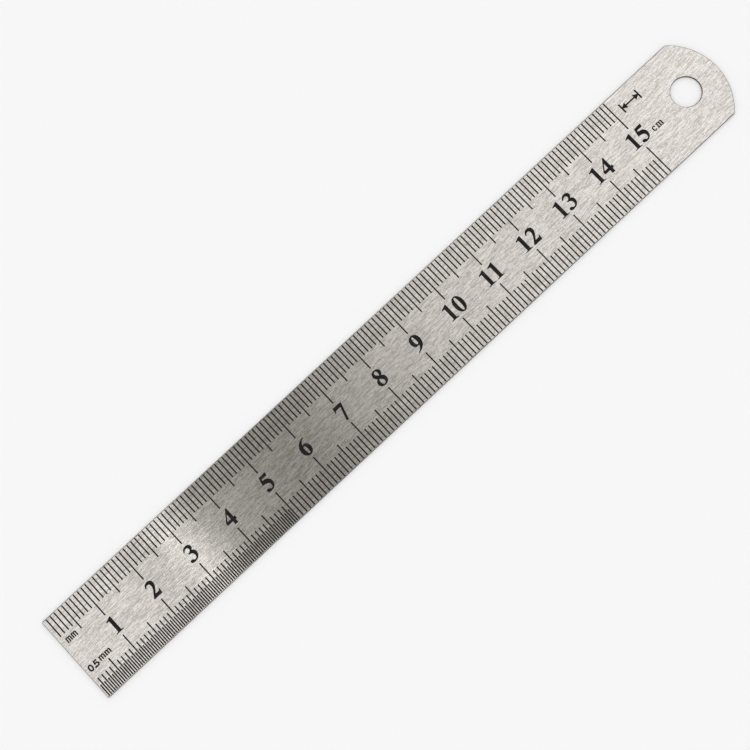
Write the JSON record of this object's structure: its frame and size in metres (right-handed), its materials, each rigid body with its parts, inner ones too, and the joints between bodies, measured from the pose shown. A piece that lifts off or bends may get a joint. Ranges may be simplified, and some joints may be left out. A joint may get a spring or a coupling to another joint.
{
  "type": "steel ruler",
  "caption": "Flat stainless steel rule with etched, ink-filled metric graduations, numerals, a square zero end and a round end with a hanging hole.",
  "frame": {"origin": "under the middle of the blade, on its plain underside, which is what the rule lies on", "axes": "+X along the rule from the square zero end to the round end with the hanging hole, +Y across it to the millimetre edge, +Z out of the graduated face"},
  "size_m": [0.1718, 0.0196, 0.0007],
  "materials": {
    "blade_steel": "satin stainless steel with short fine brushing strokes along the length",
    "marking_ink": "matt black ink filled into etched recesses, slightly worn in the middle of wide strokes"
  },
  "bodies": {
    "root": {"blade": "blade_steel", "cm_label_letter_1": "marking_ink", "cm_label_letter_2": "marking_ink", "half_mm_label_letter_1": "marking_ink", "half_mm_label_letter_2": "marking_ink", "half_mm_label_point_five": "marking_ink", "half_mm_label_zero": "marking_ink", "lower_line_100_mm": "marking_ink", "lower_line_10_mm": "marking_ink", "lower_line_110_mm": "marking_ink", "lower_line_120_mm": "marking_ink", "lower_line_130_mm": "marking_ink", "lower_line_140_mm": "marking_ink", "lower_line_150_mm": "marking_ink", "lower_line_20_mm": "marking_ink", "lower_line_30_mm": "marking_ink", "lower_line_40_mm": "marking_ink", "lower_line_50_mm": "marking_ink", "lower_line_60_mm": "marking_ink", "lower_line_70_mm": "marking_ink", "lower_line_80_mm": "marking_ink", "lower_line_90_mm": "marking_ink", "mm_label_letter_1": "marking_ink", "mm_label_letter_2": "marking_ink", "numeral_1": "marking_ink", "numeral_10_tens_digit": "marking_ink", "numeral_10_units_digit": "marking_ink", "numeral_11_tens_digit": "marking_ink", "numeral_11_units_digit": "marking_ink", "numeral_12_tens_digit": "marking_ink", "numeral_12_units_digit": "marking_ink", "numeral_13_tens_digit": "marking_ink", "numeral_13_units_digit": "marking_ink", "numeral_14_tens_digit": "marking_ink", "numeral_14_units_digit": "marking_ink", "numeral_15_tens_digit": "marking_ink", "numeral_15_units_digit": "marking_ink", "numeral_2": "marking_ink", "numeral_3": "marking_ink", "numeral_4": "marking_ink", "numeral_5": "marking_ink", "numeral_6": "marking_ink", "numeral_7": "marking_ink", "numeral_8": "marking_ink", "numeral_9": "marking_ink", "upper_line_100_mm": "marking_ink", "upper_line_10_mm": "marking_ink", "upper_line_110_mm": "marking_ink", "upper_line_120_mm": "marking_ink", "upper_line_130_mm": "marking_ink", "upper_line_140_mm": "marking_ink", "upper_line_150_mm": "marking_ink", "upper_line_20_mm": "marking_ink", "upper_line_30_mm": "marking_ink", "upper_line_40_mm": "marking_ink", "upper_line_50_mm": "marking_ink", "upper_line_60_mm": "marking_ink", "upper_line_70_mm": "marking_ink", "upper_line_80_mm": "marking_ink", "upper_line_90_mm": "marking_ink"}
  },
  "joints": []
}
